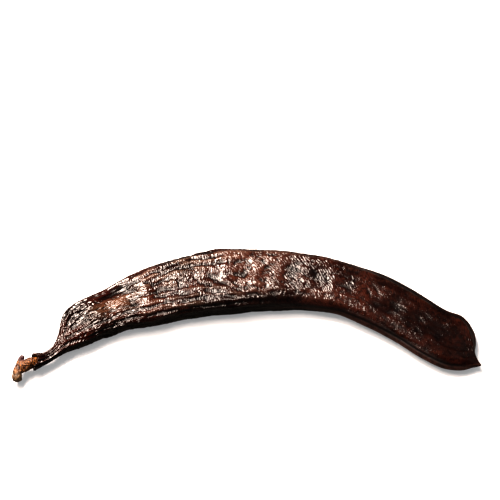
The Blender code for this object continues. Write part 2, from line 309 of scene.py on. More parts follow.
def shoulder_hollow(skin):
    """A smooth hollow beside the outer rim, just past the shoulder."""
    return -HOLLOW * skin.flat * skin.hollow


def dimples(skin):
    """Slow noise, so that no two stretches are alike."""
    strong = np.interp(skin.share, (0.55, 0.75), (1, 0.4))
    return DIMPLE * strong * skin.body * noise(skin.place / DIMPLE_SIZE, RELIEF_SEED + 4)


sides = sunken_sides(skin) + shoulder_hollow(skin)
seeds = seed_swellings(skin)
print("sides sink by up to", -sides.min().round(1), "mm, seeds rise by up to", seeds.max().round(1), "mm")

# %% [markdown]
# Where the flat side turns up into the rim, the skin has gathered into ridges. The seams are furrows near the
# neck and thin flanges near the beak, and broad folds cross the middle. Ridges that repeat are a wave of the
# distance from the rim, and folds are noise, because they never repeat.

# %% Gather the rims, the seams and the folds
RIM_RIDGE, RIM_RIDGE_PITCH, RIM_RIDGE_DEPTH = 0.9, 3.1, 7.0
SEAM_FURROW, SEAM_FLANGE = 0.7, 0.9
FOLD, FOLD_LENGTH, FOLD_WIDTH = 0.7, 8.5, 5.2


def rim_ridges(skin):
    """Crests one after another away from the rim, 1 - |sin| each, made to meander by noise and dying away."""
    meander = 1.2 * noise(skin.place / (11, 9, 9), RELIEF_SEED + 1)
    wave = 0.6 - np.abs(np.sin(math.pi * (skin.from_rim + meander) / RIM_RIDGE_PITCH))
    strong = np.interp(skin.share, (0.04, 0.11, 0.4, 0.55, 1), (0.3, 1, 0.8, 0.3, 0.2))
    inner = 1 + 0.3 * smooth_step(0.2, -0.4, skin.across)
    top = smooth_step(0.25, 0.7, np.abs(skin.up)) * (1 - 0.9 * skin.hollow)
    return RIM_RIDGE * strong * inner * top * wave * np.exp(-skin.from_rim / RIM_RIDGE_DEPTH)


def seams(skin):
    """A bell-shaped furrow along both rims, which becomes a thin raised flange towards the beak."""
    furrow = SEAM_FURROW * skin.body * bell(skin.up / 0.55) * smooth_step(0.75, 0.5, skin.share)
    flange = SEAM_FLANGE * bell(skin.up / 0.35) * smooth_step(0.5, 0.75, skin.share)
    return skin.rim * (flange * smooth_step(5, 15, skin.width) - furrow)


def folds(skin):
    """Broad creased folds, drawn out along the pod; one noise swirls the place where the other is read."""
    swirl = 2.4 * noise(skin.place / 14, RELIEF_SEED + 2)[..., None]
    slant = skin.place[..., 1:2] * (0.5, 0, 0)
    size = (FOLD_LENGTH, FOLD_WIDTH, FOLD_WIDTH)
    strong = np.interp(skin.share, (0.1, 0.22, 0.4, 0.6, 0.75, 1), (0.3, 0.9, 1, 0.65, 0.2, 0.2))
    rounded = np.abs(noise((skin.place + swirl + slant) / size, RELIEF_SEED + 3)) - 0.25
    return FOLD * strong * skin.body * skin.calm * rounded


def large_relief(skin):
    """The sum of the large forms."""
    low = sunken_sides(skin) + shoulder_hollow(skin) + dimples(skin)
    return low + seed_swellings(skin) + rim_ridges(skin) + seams(skin) + folds(skin)


large = large_relief(skin)
print("large relief from", large.min().round(1), "to", large.max().round(1), "mm")

# %% [markdown]
# ## The fine relief
#
# Over those forms the skin is finely wrinkled. Near the neck the wrinkles run lengthwise, drawn together
# like cloth. Over the middle they are short and tangled, and towards the beak the skin is smoother, with a
# fine cross-grain. They are real shape too, not a picture on the surface, because their crests catch the
# light and their creases stay dark.

# %% Wrinkle the skin finely
WRINKLE, CRINKLE, CREPE = 0.16, 0.52, 0.07
HEADINGS = (0.0, 82.0, -46.0)  # degrees from the pod's length that the crinkles of each patch run at


def wandering(skin, seed):
    """The skin's places, pushed about by slow and quick noise, so that what is read there swirls."""
    slow = 1.6 * noise(skin.place / 5, seed)[..., None]
    quick = 0.25 * noise(skin.place / 2.0, seed + 1)[..., None]
    return skin.place + slow + quick


def wrinkles(skin):
    """Creased noise at two sizes: long wrinkles near the neck, short tangled ones over the middle."""
    place = wandering(skin, RELIEF_SEED + 20)
    long = creased(place / (4.6, 1.7, 1.7), RELIEF_SEED + 6)
    short = creased(place / (2.6, 2.2, 2.2), RELIEF_SEED + 7)
    lengthwise = np.interp(skin.share, (0.2, 0.45), (1, 0.2))
    strong = np.interp(skin.share, (0.03, 0.1, 0.2, 0.45, 0.65, 1), (0.3, 0.9, 1, 0.8, 0.45, 0.3))
    patchy = 0.7 + 0.6 * noise(skin.place / 8, RELIEF_SEED + 13)
    return WRINKLE * strong * patchy * (lengthwise * long + (1 - lengthwise) * short)


def crinkles(skin):
    """Sharp-crested crinkles about a millimetre apart, in patches that each run their own way.

    Each patch is |noise| turned over, read from places turned by the patch's heading; a slow noise for
    every heading says how much of it there is, and near the neck the lengthwise ones win.
    """
    place = wandering(skin, RELIEF_SEED + 30)
    favoured = (
        np.interp(skin.share, (0.15, 0.4, 0.7), (1.8, -0.8, 0)),
        np.interp(skin.share, (0.15, 0.28, 0.4, 0.5), (-1, 1.4, 1.0, -1)),
        np.interp(skin.share, (0.3, 0.46, 0.7, 0.85), (-1, 1.6, 1.4, 0)),
    )
    shares, heights = [], []
    for n, degrees in enumerate(HEADINGS):
        c, s = math.cos(math.radians(degrees)), math.sin(math.radians(degrees))
        turned = place @ np.array([(c, -s, 0), (s, c, 0), (0, 0, 1)])
        shares.append(np.exp(4 * noise(skin.place / 6, RELIEF_SEED + 40 + n) + favoured[n]))
        heights.append(-creased(turned / (3.4, 1.0, 1.0), RELIEF_SEED + 50 + n))
    stretches = (0.03, 0.08, 0.15, 0.22, 0.55, 0.64, 0.74, 1)
    strong = np.interp(skin.share, stretches, (0.3, 1.3, 1.3, 1, 1, 0.65, 0.2, 0.24))
    return CRINKLE * strong * sum(a * b for a, b in zip(shares, heights)) / sum(shares)


def crepe(skin):
    """The finest creases, less than a millimetre apart."""
    strong = np.interp(skin.share, (0.5, 0.75), (1, 0.5))
    return CREPE * strong * -creased(wandering(skin, RELIEF_SEED + 60) / (0.9, 0.75, 0.75), RELIEF_SEED + 14)


texture = wrinkles(skin) + crinkles(skin) + crepe(skin)
print("wrinkles from", texture.min().round(2), "to", texture.max().round(2), "mm")

# %% [markdown]
# Some lines are not tangled at all: the ridges round the neck, the drawn lines beside the rims that lead to
# it, and the two thin crests of each seam. They follow the section's outline, so they are waves of the
# distance round it.

# %% Draw lines at the neck and along the seams
NECK_LINE, NECK_LINES = 0.2, 13
DRAWN_LINE, DRAWN_LINE_PITCH, DRAWN_LINE_REACH = 0.42, 1.8, 9
SEAM_LINE, SEAM_LINE_PITCH, SEAM_LINE_REACH = 0.3, 1.1, 2.6
LEDGE, LEDGE_UP, LEDGE_WIDTH = 0.5, 0.3, 0.16


def neck_lines(skin, angle):
    """A cosine round the section: lengthwise ridges that fade out at the shoulder."""
    wave = np.cos(NECK_LINES * angle + 1.5 * noise(skin.place / 7, RELIEF_SEED + 10))
    return NECK_LINE * smooth_step(22, 9, skin.along) * wave


def drawn_lines(skin):
    """Crests 1 - |sin| side by side round both rims, where the skin is drawn to the neck."""
    meander = 0.8 * noise(skin.place / (9, 4, 4), RELIEF_SEED + 15)
    wave = 0.6 - np.abs(np.sin(math.pi * (skin.from_seam + meander) / DRAWN_LINE_PITCH))
    inner = np.interp(skin.share, (0.05, 0.12, 0.36, 0.5), (0.2, 1, 0.9, 0)) * (skin.across < 0)
    outer = np.interp(skin.share, (0.05, 0.1, 0.18, 0.26), (0.2, 0.5, 0.4, 0)) * (skin.across > 0)
    return DRAWN_LINE * (inner + outer) * np.exp(-((skin.from_seam / DRAWN_LINE_REACH) ** 4)) * wave


def seam_lines(skin):
    """Two thin crests along each seam in the half towards the beak, and a ledge that lifts the outer one."""
    near = smooth_step(0.5, 0.62, skin.share) * smooth_step(0.97, 0.9, skin.share)
    wave = 0.4 - np.abs(np.sin(math.pi * skin.from_seam / SEAM_LINE_PITCH))
    ledge = LEDGE * (skin.across > 0) * np.exp(-(((skin.up - LEDGE_UP) / LEDGE_WIDTH) ** 2))
    crests = SEAM_LINE * bell(skin.from_seam / SEAM_LINE_REACH) * wave
    return near * (crests + ledge * smooth_step(0.6, 0.75, skin.share))


def fine_relief(skin, texture, angle):
    """The texture and the drawn lines, with the texture faint in the smooth hollow and nothing at the tip."""
    to_tip = smooth_step(0, 5, skin.along.max() - skin.along)
    kept = (0.45 + 0.55 * skin.calm) * (1 - 0.95 * skin.hollow)
    lines = neck_lines(skin, angle) + drawn_lines(skin) + seam_lines(skin)
    return to_tip * (kept * texture + lines)


fine = fine_relief(skin, texture, angle)
print("fine relief from", fine.min().round(2), "to", fine.max().round(2), "mm")

# %% [markdown]
# ## The skin as one surface
#
# Now the forms meet. Every point of the plain sections is moved out along the surface's normal by the
# relief, and whatever would go below the table is pressed flat on it, as a pod's weight rests on its lowest
# folds. The neck's mouth is torn back on its upper side, and behind its lip lies the hollow that the stalk
# sits in.

# %% Compute the skin's points
TORN_BACK, TORN_REACH, TORN_EDGE = 2.4, 6.0, 0.4
TEAR_SIZES = 1.3, 0.5
LIP_RADIUS, SOCKET_RADIUS, SOCKET_DEPTH = 2.4, 1.5, 2.7


def outward(grid):
    """Unit normals of a grid of points: the cross product of the steps round a ring and along the rings."""
    along = np.gradient(grid, axis=0)
    around = np.roll(grid, -1, axis=1) - np.roll(grid, 1, axis=1)
    normal = np.cross(around, along)
    return normal / np.maximum(np.linalg.norm(normal, axis=-1, keepdims=True), 1e-9)


def torn(points, skin):
    """The points with the neck's mouth torn back, most on top, with noise for its ragged edge."""
    middle, out = neck_mouth()
    from_middle = points - middle
    ragged = noise(from_middle / TEAR_SIZES[0], RELIEF_SEED) + noise(from_middle / TEAR_SIZES[1], RELIEF_SEED)
    ragged = TORN_EDGE * ragged
    back = TORN_BACK * smooth_step(-0.2, 1, skin.up) * (1 - skin.across**2) - ragged
    fade = np.clip(1 - skin.along / TORN_REACH, 0, 1)
    return points - (fade * back)[..., None] * out


def socket(mouth):
    """Rings of the hollow in the neck's mouth: its floor, then the lip inside the torn edge."""
    middle, out = neck_mouth()
    from_axis = mouth - middle
    depth = from_axis @ out
    spoke = from_axis - depth[:, None] * out
    spoke /= np.linalg.norm(spoke, axis=1)[:, None]
    lip = middle + LIP_RADIUS * spoke + depth[:, None] * out
    floor = middle + SOCKET_RADIUS * spoke - SOCKET_DEPTH * out
    return np.stack([floor, lip])


relief = large + fine
points = torn(plain + outward(plain) * relief[..., None], skin)
points[..., 2] = np.maximum(points[..., 2] + REST_LIFT, 0)
resting = int((points[..., 2] == 0).sum())
print("the pod is", points[..., 2].max().round(2), "mm thick and rests on", resting, "points")

# %% [markdown]
# ## Numbers that the colours need
#
# The skin is painted darker where its relief is low, as dirt and painted shade, and paler on the ridges, as
# bloom and painted highlight. To tell low from high at every point, the relief is compared with a blurred
# copy of itself. Other numbers mark where on the pod something happens: the pale bloom on the folds nearer
# the neck, which is partly a painted highlight, the coppery patch at the shoulder with the dark red hollow
# beside it, which is partly painted shade, the black stains between the seeds, the painted shade down the
# walls and the painted highlights along the seams. The materials then read these numbers from the mesh, so
# they never need a picture.

# %% Find the creases and the hollows
CREASE_WINDOW, CREASE_GAIN = (4, 4), 1.5  # rings and points round a ring that are averaged, each way
HOLLOW_WINDOW, HOLLOW_GAIN = (14, 12), 0.55


def blurred(grid, rings, spokes):
    """Mean over a window of rings by spokes: along the rings, then round them, twice for a soft edge."""
    for _ in range(2):
        padded = np.pad(grid, ((rings, rings), (0, 0)), mode="edge")
        total = np.cumsum(np.pad(padded, ((1, 0), (0, 0))), axis=0)
        grid = (total[2 * rings + 1 :] - total[: -2 * rings - 1]) / (2 * rings + 1)
        grid = sum(np.roll(grid, k, axis=1) for k in range(-spokes, spokes + 1)) / (2 * spokes + 1)
    return grid


crease = np.clip(0.5 - CREASE_GAIN * (relief - blurred(relief, *CREASE_WINDOW)), 0, 1)
hollow = np.clip(0.5 - HOLLOW_GAIN * (relief - blurred(relief, *HOLLOW_WINDOW)), 0, 1)
print("mean crease", crease.mean().round(2), "and hollow", hollow.mean().round(2))

# %% [markdown]
# Patches are placed one by one, each as a soft oval, because where a pod has lain or split is chance. What
# follows the form, such as the bloom near the neck or the painted shade on the walls, is a curve along the
# pod instead.

# %% Mark the patches, stains, painted shade and highlights, and bloom
# Each patch is mm along, across from -1 to 1, and its length and width in those terms.
COPPER = (41, 0.08, 8.5, 0.32)
DARK_RED = (39.5, 0.62, 7.5, 0.34)
# A pale patch on the outer side of the top: painted highlight
OUTER_PAINTED_HIGHLIGHT = (66, 0.55, 18, 0.4)
BLACK_RIM = (103, -0.8, 26, 0.22)
SPOT_SIZE = (2.6, 0.3)
BLACK_SPOTS = [
    (113, 0.2),
    (121, 0.2),
    (126, 0.1),
    (137, 0.05),
    (149, -0.4),
    (158, -0.1),
    (169, -0.4),
    (177, -0.25),
]
SEAM_EDGE = 1.6
BLOOM_SEED = 71


def patch(skin, along, across, length, width):
    """exp(-d^2) round a place on the upper side, where d is the distance in patch lengths and widths."""
    away = -(((skin.along - along) / length) ** 2) - ((skin.across - across) / width) ** 2
    return np.exp(away) * (skin.up > 0)


copper = patch(skin, *COPPER)
dark_red = patch(skin, *DARK_RED)
black = sum(patch(skin, *spot, *SPOT_SIZE) for spot in BLACK_SPOTS) + patch(skin, *BLACK_RIM)
black = np.clip(black, 0, 1)
warm = np.interp(skin.share, (0, 0.12, 0.3, 0.45, 0.6, 0.72, 1), (0.2, 0.05, 0.22, 0.7, 0.65, 0.35, 0.2))
# Lighter on top, darker down the walls and underside: painted shade
warm = warm * (0.3 + 0.7 * smooth_step(0.0, 0.8, skin.up) * smooth_step(0.98, 0.8, np.abs(skin.across)))
# Near-black down the inner wall over the middle: painted shade
inner_wall = smooth_step(-0.8, -0.97, skin.across) * smooth_step(0.75, 0.1, skin.up)
painted_wall_shade = inner_wall * np.interp(skin.share, (0.15, 0.3, 0.42, 0.7, 0.8), (0, 0.5, 1, 1, 0.3))
# Darker at the rims and down the walls: painted shade
edge = np.interp(skin.share, (0.22, 0.36, 0.5, 0.7), (1, 0.55, 0.35, 0.4))
edge = smooth_step(0.82, 0.97, np.abs(skin.across)) * edge
# The pale bloom nearer the neck is partly a painted highlight; the outer pale patch is a painted highlight
near_neck = np.interp(skin.share, (0.03, 0.12, 0.3, 0.45, 0.6, 0.85), (0.3, 0.2, 0.7, 0.55, 0.2, 0.05))
near_neck = (1 - 0.8 * edge) * near_neck + 0.9 * patch(skin, *OUTER_PAINTED_HIGHLIGHT)
bloom = near_neck * smooth_step(-0.25, 0.35, noise(skin.place / (9, 6, 6), BLOOM_SEED) + 0.25)
# Pale lines along the seams' crests: painted highlight
seam = smooth_step(0.45, 0.6, skin.share) * bell(skin.from_seam / SEAM_EDGE)
seam = seam * (0.6 + 0.4 * np.cos(math.tau * skin.from_seam / SEAM_LINE_PITCH))
print("bloom on", (bloom > 0.2).mean().round(2), "of the skin, black on", (black > 0.5).mean().round(2))

# %% [markdown]
# ## Points become a mesh
#
# Rings of points are joined by four-sided faces, and each end is closed by a fan round its middle point.
# The map that unrolls the skin onto a square comes free with the grid: one side is the distance along, the
# other the way round.

# %% Join rings of points into a closed surface


def grid_faces(count, sides):
    """(faces, map corners) of rings of points: quads between the rings and a fan of triangles at each end."""
    r, k = (a.ravel() for a in np.meshgrid(np.arange(count - 1), np.arange(sides), indexing="ij"))
    n = (k + 1) % sides
    quads = np.stack([r * sides + k, r * sides + n, (r + 1) * sides + n, (r + 1) * sides + k], axis=1)
    quad_map = np.stack([r + 1, k, r + 1, k + 1, r + 2, k + 1, r + 2, k], axis=1).reshape(-1, 2)
    k = np.arange(sides)
    n = (k + 1) % sides
    last = (count - 1) * sides
    middle = np.full(sides, count * sides)
    first_fan = np.stack([middle, n, k], axis=1)
    last_fan = np.stack([middle + 1, last + k, last + n], axis=1)
    half, one = k + 0.5, np.ones(sides)
    first_map = np.stack([0 * one, half, one, k + 1, one, k], axis=1).reshape(-1, 2)
    last_map = np.stack([(count + 1) * one, half, count * one, k, count * one, k + 1], axis=1)
    last_map = last_map.reshape(-1, 2)
    corners = np.concatenate([quad_map, first_map, last_map]) / (count + 1, sides)
    return quads.tolist() + first_fan.tolist() + last_fan.tolist(), corners


def store(mesh, label, values):
    """Keeps one number, or one triple of numbers, for every point of the mesh under that label."""
    kind, field = ("FLOAT", "value") if values.size == len(mesh.vertices) else ("FLOAT_VECTOR", "vector")
    mesh.attributes.new(label, kind, "POINT").data.foreach_set(field, values.astype(np.float32).ravel())


def closed_surface(name, rings, numbers):
    """Mesh object from rings of points in mm; numbers maps a name to a number for each point of the grid."""
    count, sides = rings.shape[:2]
    ends = np.stack([rings[0].mean(axis=0), rings[-1].mean(axis=0)])
    faces, corners = grid_faces(count, sides)
    mesh = bpy.data.meshes.new(name)
    mesh.from_pydata(np.concatenate([rings.reshape(-1, 3), ends]) * MM, [], faces)
    mesh.uv_layers.new(name="OFBake").uv.foreach_set("vector", corners.astype(np.float32).ravel())
    for label, values in numbers.items():
        middles = values[[0, -1]].mean(axis=1).reshape(2, -1)
        store(mesh, label, np.concatenate([values.reshape(count * sides, -1), middles]))
    mesh.shade_smooth()
    made = bpy.data.objects.new(name, mesh)
    bpy.context.scene.collection.objects.link(made)
    return made


def with_socket(values):
    """The grid's numbers with the first ring repeated for the two rings of the socket."""
    return np.concatenate([values[:1], values[:1], values])


rings = np.concatenate([socket(points[0]), points]) - PLAN_CENTRE
marks = {
    "crease": crease,
    "hollow": hollow,
    "copper": copper,
    "dark_red": dark_red,
    "black": black,
    "bloom": bloom,
    "warm": warm,
    "painted_wall_shade": painted_wall_shade,
    "edge": edge,
    "seam": seam,
    "share": skin.share,
}
numbers = {**marks, "place": skin.place}
pod = closed_surface("pod_skin", rings, {label: with_socket(values) for label, values in numbers.items()})
print("pod:", 2 * len(pod.data.polygons), "triangles,", [round(d / MM, 1) for d in pod.dimensions], "mm")

# %% [markdown]
# ## The broken stalk
#
# The pod hung on a short woody foot that grew from the flower stem. When it was pulled off, a piece of that
# stem came too. Both are tubes round smooth paths. Melting them together on a fine lattice rounds the joint
# as wood grows, and then the grain is pressed in along their length.

# %% Shape the foot and the piece of stem
# Each row is x, y, z and radius in mm, from the middle of the neck's mouth.
FOOT = np.array(
    [
        (2.0, 1.1, 0.0, 0.95),
        (0.2, 0.1, 0.0, 1.95),
        (-1.0, -0.4, 0.1, 2.25),
        (-2.8, -1.6, 0.1, 2.25),
        (-4.5, -2.7, 0.0, 2.0),
        (-5.5, -3.3, -0.1, 1.2),
    ]
)
STEM = np.array(
    [
        (-4.1, 2.2, 0.9, 0.8),
        (-4.5, 0.9, 0.8, 1.1),
        (-5.0, -0.9, 0.4, 1.3),
        (-5.3, -3.1, 0.0, 1.65),
        (-5.6, -5.1, -0.4, 1.85),
        (-5.7, -6.8, -0.7, 1.9),
        (-5.6, -7.9, -0.8, 1.2),
    ]
)
TUBE_RINGS, TUBE_SIDES = 40, 32
LATTICE, SOFTENING = 0.16, 6  # the cell that the tubes are melted on, in mm, and rounds of smoothing


def tube(path, rings, sides):
    """Points round a smooth path of (x, y, z, radius): each ring is a circle square to the path."""
    line = curve_through(path, np.linspace(0, len(path) - 1, rings))
    middle, radius = line[:, :3], line[:, 3:]
    heading = np.gradient(middle, axis=0)
    heading /= np.linalg.norm(heading, axis=1)[:, None]
    side = np.cross(heading, (0, 0, 1))
    side /= np.linalg.norm(side, axis=1)[:, None]
    above = np.cross(side, heading)
    turn = np.arange(sides) / sides * math.tau
    spoke = side[:, None] * np.cos(turn)[:, None] + above[:, None] * np.sin(turn)[:, None]
    return middle[:, None] + radius[:, None] * spoke


def melted(name, tubes, cell):
    """One closed surface round several tubes, remade on a lattice of cells of that size in mm."""
    parts = [closed_surface(f"{name}_{n}", rings, {}) for n, rings in enumerate(tubes)]
    with bpy.context.temp_override(active_object=parts[0], selected_editable_objects=parts):
        bpy.ops.object.join()
    remesh = parts[0].modifiers.new("melt", "REMESH")
    remesh.mode = "VOXEL"
    remesh.voxel_size = cell * MM
    smooth = parts[0].modifiers.new("soften", "SMOOTH")
    smooth.iterations = SOFTENING
    evaluated = parts[0].evaluated_get(bpy.context.evaluated_depsgraph_get())
    mesh = bpy.data.meshes.new_from_object(evaluated)
    bpy.data.objects.remove(parts[0])
    made = bpy.data.objects.new(name, mesh)
    bpy.context.scene.collection.objects.link(made)
    return made


mouth = neck_mouth()[0] - PLAN_CENTRE
tubes = [mouth + tube(path, TUBE_RINGS, TUBE_SIDES) for path in (FOOT, STEM)]
stalk = melted("stalk_wood", tubes, LATTICE)
print("stalk:", len(stalk.data.polygons), "faces")

# %% [markdown]
# Torn wood shows its fibres, with lumps and pits between them. The grain has to follow each tube round its
# bends, so every point looks up how far along the nearer path it lies.

# %% Press the grain into the wood
WOOD_SEED = 91
GRAIN, LUMPS, PITS = 0.15, 0.22, 0.32  # how high each kind of unevenness is, in mm
FOOT_GRAIN, STEM_GRAIN, LUMP_SIZE, PIT_SIZE = 0.55, 0.6, 2.0, 0.95  # and how large, in mm
FOOT_ROOT, FIBRE_STRETCH = 2.3, 1.5  # length of the foot's root in the neck, and how far its fibres are drawn
PATH_DIVISIONS = 60


def vectors(items, field):
    """The field of every item as an array of three columns."""
    values = np.empty(len(items) * 3, np.float32)
    items.foreach_get(field, values)
    return values.reshape(-1, 3).astype(float)


def grain_place(places, path):
    """(distance along the path, nearest distance to it) for every place, from a finely divided path."""
    line = curve_through(path, np.linspace(0, len(path) - 1, PATH_DIVISIONS))[:, :3]
    away = np.linalg.norm(places[:, None] - line[None], axis=-1)
    walked = np.concatenate([[0], np.cumsum(np.linalg.norm(np.diff(line, axis=0), axis=1))])
    return walked[away.argmin(axis=1)], away.min(axis=1)


places = vectors(stalk.data.vertices, "co") / MM - mouth
normals = vectors(stalk.data.vertex_normals, "vector")
along_foot, from_foot = grain_place(places, FOOT)
along_stem, from_stem = grain_place(places, STEM)
on_stem = smooth_step(-0.4, 0.4, from_foot - from_stem)
# Fibre runs lengthwise, so its noise is drawn out along the foot and four times longer along the stem.
drawn = along_foot[:, None] * FOOT[0, :3] / FOOT_ROOT * FIBRE_STRETCH
fibre_foot = noise(places / FOOT_GRAIN - drawn, WOOD_SEED)
fibre_stem = noise(places / STEM_GRAIN * (1, 0.25, 1), WOOD_SEED + 1)
lumps = noise(places / LUMP_SIZE, WOOD_SEED + 2)
grain = (1 - on_stem) * fibre_foot + on_stem * fibre_stem
bumps = GRAIN * grain + LUMPS * lumps + PITS * creased(places / PIT_SIZE, WOOD_SEED + 3)
# Dark where the bumps are low: painted shade, and old bark
dent = smooth_step(0.04, -0.22, bumps)
pressed = (places + mouth + normals * bumps[:, None]) * MM
stalk.data.vertices.foreach_set("co", pressed.astype(np.float32).ravel())
stalk.data.shade_smooth()
tip = on_stem * smooth_step(5.0, 10.0, along_stem)
spur = on_stem * smooth_step(3.2, 1.6, along_stem)
wood_marks = {"grain": grain, "dent": dent, "tip": tip, "spur": spur}
for label, values in wood_marks.items():
    store(stalk.data, label, values)
print("grain and lumps from", bumps.min().round(2), "to", bumps.max().round(2), "mm")

# %% [markdown]
# ## Finishes
#
# Two finishes are enough. The husk is a dried leathery hide with its own thin wax: dark red-brown, nearly
# black in the creases with dirt and painted shade, greyer where the wax has dried to a bloom, which is
# partly a painted highlight, and smooth enough that its small facets flash under a light. The broken stalk
# is bare wood fibre, which is dull.
#
# A skin like this has many layers of colour, one over the other, so a material is built up in that order.
# One function adds a node with its settings and links, and all the rest is written with it.

# %% Set up colours and nodes
PLANT_IOR = 1.45  # plant wax and dry wood fibre both bend light about this much


def colour(code):
    """Linear colour from an sRGB hex code: c / 12.92 up to 0.04045, above it ((c + 0.055) / 1.055)^2.4."""
    values = [int(code[i : i + 2], 16) / 255 for i in (1, 3, 5)]
    return (*(v / 12.92 if v <= 0.04045 else ((v + 0.055) / 1.055) ** 2.4 for v in values), 1.0)


def add(tree, kind, settings, links=None, out=0):
    """Adds a node to a material's tree and gives the output asked for.

    settings holds properties by name and plain values of inputs by name or number, and links holds the
    outputs that feed other inputs.
    """
    node = tree.nodes.new(kind)
    for key, value in settings.items():
        if isinstance(key, str) and hasattr(node, key):
            setattr(node, key, value)
        else:
            node.inputs[key].default_value = value
    for key, source in (links or {}).items():
        tree.links.new(source, node.inputs[key])
    return node.outputs[out]


def finish(name):
    """(material, its tree, its shader), with the IOR of dry plant matter, which paper is too."""
    made = bpy.data.materials.new(name)
    made.use_nodes = True
    shader = made.node_tree.nodes["Principled BSDF"]
    shader.inputs["IOR"].default_value = PLANT_IOR
    return made, made.node_tree, shader


print("mahogany in linear light:", [round(v, 4) for v in colour("#331007")])

# %% [markdown]
# ## Patterns and layers
#
# Wax, blotches and fibre are patterns, and each has a real size. So the pattern functions take millimetres:
# blotches lie in the piece's own space, and what has to follow the bend reads the place that was stored on
# the skin.

# %% Make patterns at real sizes and lay colours over each other
TIMES = {"operation": "MULTIPLY"}
PLUS = {"operation": "ADD"}
EASED = {"interpolation_type": "SMOOTHSTEP"}  # inputs 1 and 2 are taken to 3 and 4, or to 0 and 1
COLOURS = {"data_type": "RGBA"}  # input 0 is the share of input 7 over input 6
MEANDER_SIZE, MEANDER = 2.0, 20.0  # blotches in mm that push the fine lines about, and by how many radians
LINE_LEAN = 0.6  # how much the fine lines shift from the top of the pod to its walls


def speckle(tree, size_mm, detail=3.0, roughness=0.55):
    """Noise in the object's own space whose blotches are about size_mm across."""
    place = add(tree, "ShaderNodeTexCoord", {}, out="Object")
    settings = {"Scale": 0.5 / (size_mm * MM), "Detail": detail, "Roughness": roughness}
    return add(tree, "ShaderNodeTexNoise", settings, {"Vector": place}, "Fac")


def streaks(tree, size_mm):
    """Ridged noise in the skin's own lengths, so that it follows the bend; its cells have that size in mm."""
    place = add(tree, "ShaderNodeAttribute", {"attribute_name": "place"}, out="Vector")
    cells = add(tree, "ShaderNodeVectorMath", {"operation": "DIVIDE", 1: size_mm}, {0: place})
    settings = {"noise_type": "RIDGED_MULTIFRACTAL", "Scale": 1.0, "Detail": 2.0, "Distortion": 0.7}
    return add(tree, "ShaderNodeTexNoise", settings, {"Vector": cells}, "Fac")


def hatch(tree, degrees, pitch_mm):
    """A sine across fine lines that run that many degrees from the pod's length; noise makes them meander."""
    c, s = math.cos(math.radians(degrees)), math.sin(math.radians(degrees))
    waves = [part * math.tau / pitch_mm for part in (-s, c, LINE_LEAN)]
    place = add(tree, "ShaderNodeAttribute", {"attribute_name": "place"}, out="Vector")
    phase = add(tree, "ShaderNodeVectorMath", {"operation": "DOT_PRODUCT", 1: waves}, {0: place}, "Value")
    meander = add(tree, "ShaderNodeMath", {**TIMES, 1: MEANDER}, {0: speckle(tree, MEANDER_SIZE, 2.0)})
    total = add(tree, "ShaderNodeMath", PLUS, {0: phase, 1: meander})
    return add(tree, "ShaderNodeMath", {"operation": "SINE"}, {0: total})


def layered(tree, ground, layers):
    """The ground colour with layers over it in turn, each (where it lies, how strong it is, colour)."""
    for where, strength, code in layers:
        share = add(tree, "ShaderNodeMath", {**TIMES, 1: strength}, {0: where})
        ground = add(tree, "ShaderNodeMix", {**COLOURS, 7: colour(code)}, {0: share, 6: ground}, 2)
    return ground


print("fine lines meander by up to", round(MEANDER / math.tau, 1), "times their pitch")

# %% [markdown]
# ## The husk's skin
#
# The colour is built from the ground up: mahogany mottled with near-black, thinner and redder over the
# middle, and darker down the walls and underside as painted shade; then the coppery patch at the shoulder,
# the grey-pink bloom on what stands highest, which is partly a painted highlight, and the stains, with
# painted shade down the walls and painted highlights on the seams. Dirt in the creases, with painted shade,
# goes on last, as it does on the pod.

# %% Colour the skin
skin_finish, tree, shader = finish("waxy_dried_pod_skin")
mark = {label: add(tree, "ShaderNodeAttribute", {"attribute_name": label}, out="Fac") for label in marks}

mottle = add(tree, "ShaderNodeMapRange", {**EASED, 1: 0.38, 2: 0.66}, {0: speckle(tree, 7.0)})
fleck = add(tree, "ShaderNodeMapRange", {**EASED, 1: 0.52, 2: 0.70}, {0: speckle(tree, 1.1)})
ridge = add(tree, "ShaderNodeMapRange", {**EASED, 1: 0.6, 2: 0.2}, {0: mark["crease"]})
bloom_and_painted_highlight = add(tree, "ShaderNodeMath", TIMES, {0: mark["bloom"], 1: ridge})
sunk = add(tree, "ShaderNodeMapRange", {**EASED, 1: 0.45, 2: 0.8}, {0: mark["crease"]})
deep = add(tree, "ShaderNodeMapRange", {**EASED, 1: 0.55, 2: 0.95}, {0: mark["hollow"]})

# Near-black and mahogany blotches, and the same where the skin is thinner, with red-brown flecks
dark = add(tree, "ShaderNodeMix", {**COLOURS, 6: colour("#0c0403"), 7: colour("#331007")}, {0: mottle}, 2)
light = add(tree, "ShaderNodeMix", {**COLOURS, 6: colour("#2b1009"), 7: colour("#472b22")}, {0: mottle}, 2)
light = layered(tree, light, [(fleck, 0.35, "#6e4232")])
